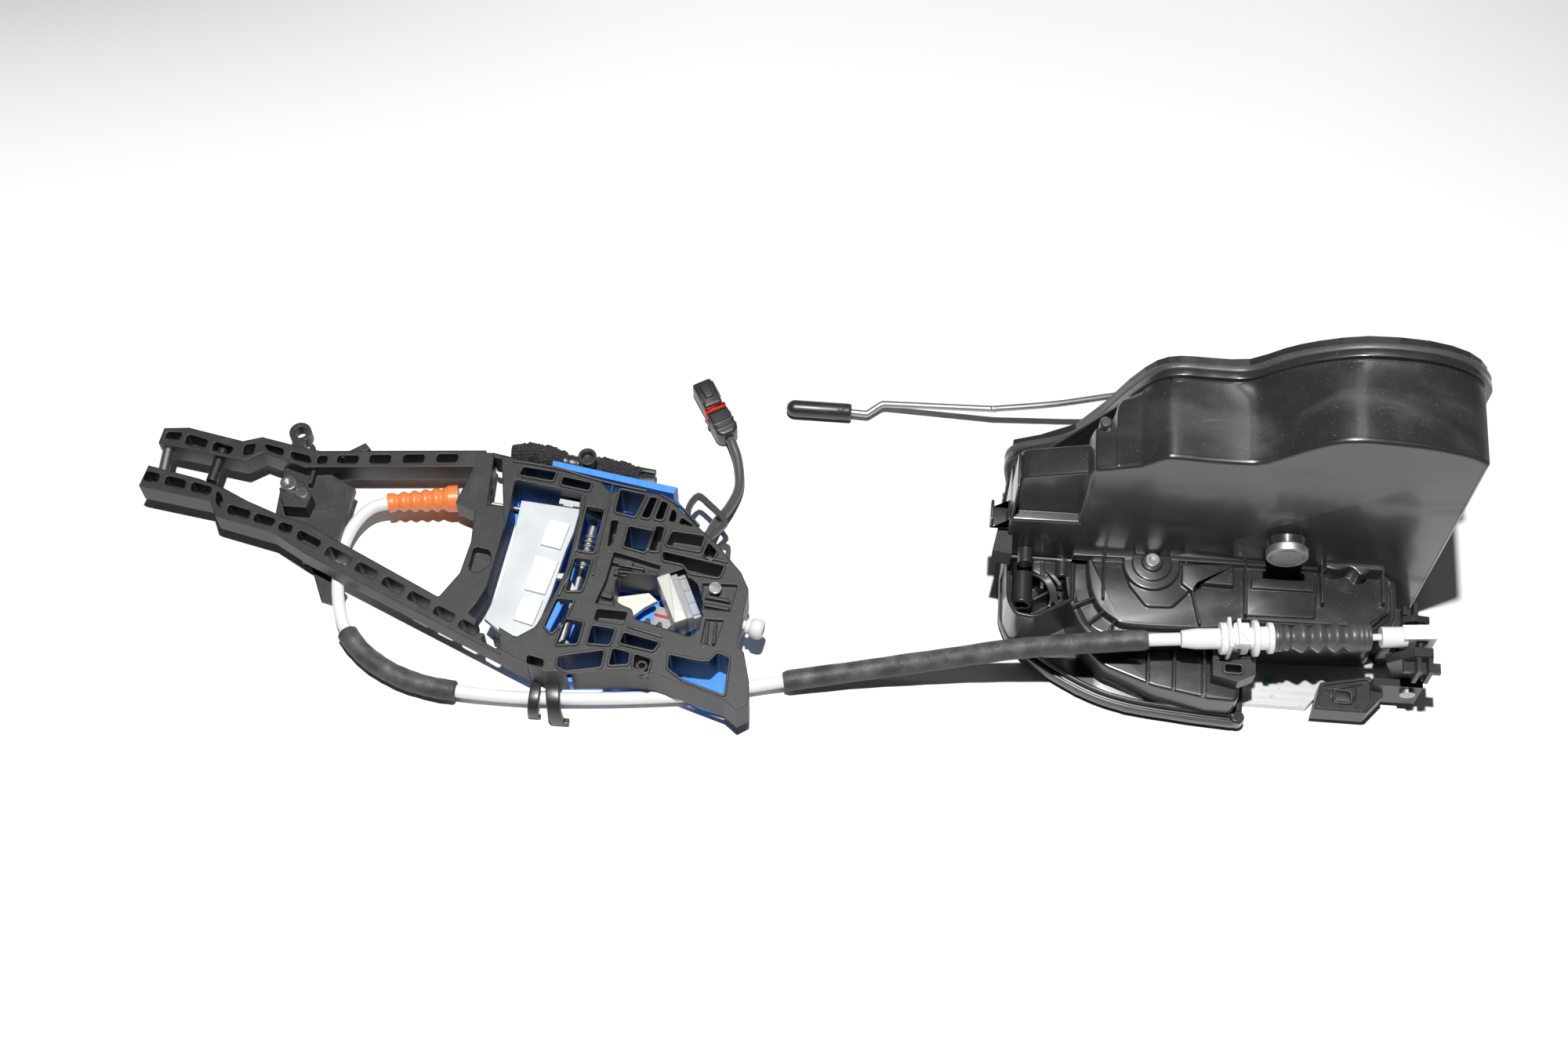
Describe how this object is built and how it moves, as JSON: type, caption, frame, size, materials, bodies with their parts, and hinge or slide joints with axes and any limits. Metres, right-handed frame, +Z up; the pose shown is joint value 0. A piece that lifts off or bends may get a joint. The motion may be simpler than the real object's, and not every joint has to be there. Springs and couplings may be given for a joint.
{
  "type": "car door lock",
  "caption": "Motor driven car door latch on a steel face plate, with pull cable, lock rod and the bracket of the outside handle.",
  "frame": {"origin": "middle of the steel face plate's outer side, which stands on the table", "axes": "+X runs along the row from the handle bracket to the latch, +Y from the cable's side to the rim gasket, +Z up from the face plate"},
  "size_m": [0.5151, 0.1569, 0.14],
  "materials": {
    "black_plastic": "satin moulded black plastic",
    "bracket_black": "glass filled black plastic",
    "rubber_black": "black rubber",
    "foam_grey": "dark grey foam",
    "zinc_steel": "zinc plated steel",
    "face_steel": "bright plated steel",
    "catch_steel": "hardened steel",
    "cable_white": "white plastic",
    "lever_grey": "pale grey plastic",
    "cream_plastic": "cream plastic",
    "guard_blue": "blue plastic",
    "boot_orange": "orange rubber",
    "clear_block": "clear plastic",
    "light_pale": "pale clear plastic",
    "seal_red": "orange red rubber",
    "harness_tape": "woven fleece tape",
    "brass": "tinned brass"
  },
  "bodies": {
    "lock": {"latch_cover": "black_plastic", "foot_cover": "black_plastic", "back_shell": "black_plastic", "rim_gasket": "rubber_black", "face_plate": "face_steel", "mechanism_plate": "zinc_steel", "fork_rivet": "zinc_steel", "pawl_rivet": "zinc_steel", "fork_spring": "zinc_steel", "pawl_spring": "zinc_steel", "cover_screw": "zinc_steel", "pin_cap": "zinc_steel", "felt_pad": "foam_grey", "plug_contacts": "brass", "cable_bracket": "black_plastic", "lever_bracket": "black_plastic", "release_pin": "zinc_steel", "motor": "zinc_steel", "conduit": "cable_white", "rear_foam": "foam_grey", "front_foam": "foam_grey", "cable_boot": "boot_orange", "cable_abutment": "cable_white", "cable_bellows": "rubber_black", "handle_bracket": "bracket_black", "guard_tray": "guard_blue", "hook_pin": "zinc_steel", "hinge_pin": "bracket_black", "clamp_block": "bracket_black", "clamp_screws": "zinc_steel", "lever_shaft": "zinc_steel", "lever_spring": "zinc_steel", "cream_plate": "cream_plastic", "light_block": "clear_block", "light_holder": "light_pale", "barrel_pin": "zinc_steel", "guide_loop": "bracket_black", "cable_hooks": "bracket_black", "under_clip": "bracket_black", "harness_roll": "harness_tape", "harness_plug": "bracket_black", "pigtail_cord": "rubber_black", "plug_body": "bracket_black", "plug_seal": "seal_red"},
    "fork": {"fork": "catch_steel"},
    "pawl": {"pawl": "catch_steel"},
    "release_lever": {"release_lever": "black_plastic"},
    "motor_pinion": {"motor_pinion": "cream_plastic"},
    "lock_lever": {"lock_lever": "cream_plastic"},
    "lock_rod": {"lock_rod": "zinc_steel", "rod_sleeve": "rubber_black"},
    "cable_slider": {"cable_slider": "cable_white"},
    "cable_wire": {"cable_wire": "zinc_steel"},
    "handle_lever": {"handle_lever": "lever_grey"},
    "fixing_screw": {"fixing_screw": "cable_white"}
  },
  "joints": [
    {"name": "handle_lever_swing", "type": "hinge", "parent": "lock", "child": "handle_lever", "pos_m": [-0.28017, 0.00739, 0.006], "axis": [0.1305, 0.9914, 0], "range_deg": [0, 20], "stiffness_Nm_per_rad": 0.02},
    {"name": "cable_wire_pull", "type": "slide", "parent": "lock", "child": "cable_wire", "axis": [0.9914, -0.1305, 0], "range_m": [0, 0.0036]},
    {"name": "cable_slider_pull", "type": "slide", "parent": "lock", "child": "cable_slider", "axis": [-0.9962, -0.0872, 0], "range_m": [0, 0.0036]},
    {"name": "release_lever_turn", "type": "hinge", "parent": "lock", "child": "release_lever", "pos_m": [0.047, -0.005, 0.014], "axis": [0, -1, 0], "range_deg": [0, 9]},
    {"name": "pawl_turn", "type": "hinge", "parent": "lock", "child": "pawl", "pos_m": [-0.043, 0.017, 0.01], "axis": [0, 0, 1], "range_deg": [0, 12.5]},
    {"name": "fork_turn", "type": "hinge", "parent": "lock", "child": "fork", "pos_m": [-0.001, 0.029, 0.01], "axis": [0, 0, -1], "range_deg": [0, 58]},
    {"name": "lock_lever_turn", "type": "hinge", "parent": "lock", "child": "lock_lever", "pos_m": [-0.01, 0.06, 0.072], "axis": [0, 1, 0], "range_deg": [-17, 17]},
    {"name": "motor_pinion_spin", "type": "hinge", "parent": "lock", "child": "motor_pinion", "pos_m": [0.0151, 0.05, 0.072], "axis": [0, 1, 0], "range_deg": [-70, 70]},
    {"name": "lock_rod_slide", "type": "slide", "parent": "lock", "child": "lock_rod", "axis": [-1, 0, 0], "range_m": [-0.0061, 0.0061]},
    {"name": "fixing_screw_turn", "type": "hinge", "parent": "lock", "child": "fixing_screw", "pos_m": [-0.216, -0.0085, 0.017], "axis": [0.9781, -0.2079, 0], "range_deg": [-180, 180]}
  ],
  "couplings": [
    {"joint": "cable_wire_pull", "follows": "handle_lever_swing", "m_per_rad": 0.007448},
    {"joint": "cable_slider_pull", "follows": "handle_lever_swing", "m_per_rad": 0.007448},
    {"joint": "release_lever_turn", "follows": "handle_lever_swing", "ratio": 0.31},
    {"joint": "pawl_turn", "follows": "handle_lever_swing", "ratio": 0.6},
    {"joint": "motor_pinion_spin", "follows": "lock_lever_turn", "ratio": -4},
    {"joint": "lock_rod_slide", "follows": "lock_lever_turn", "m_per_rad": 0.02}
  ]
}
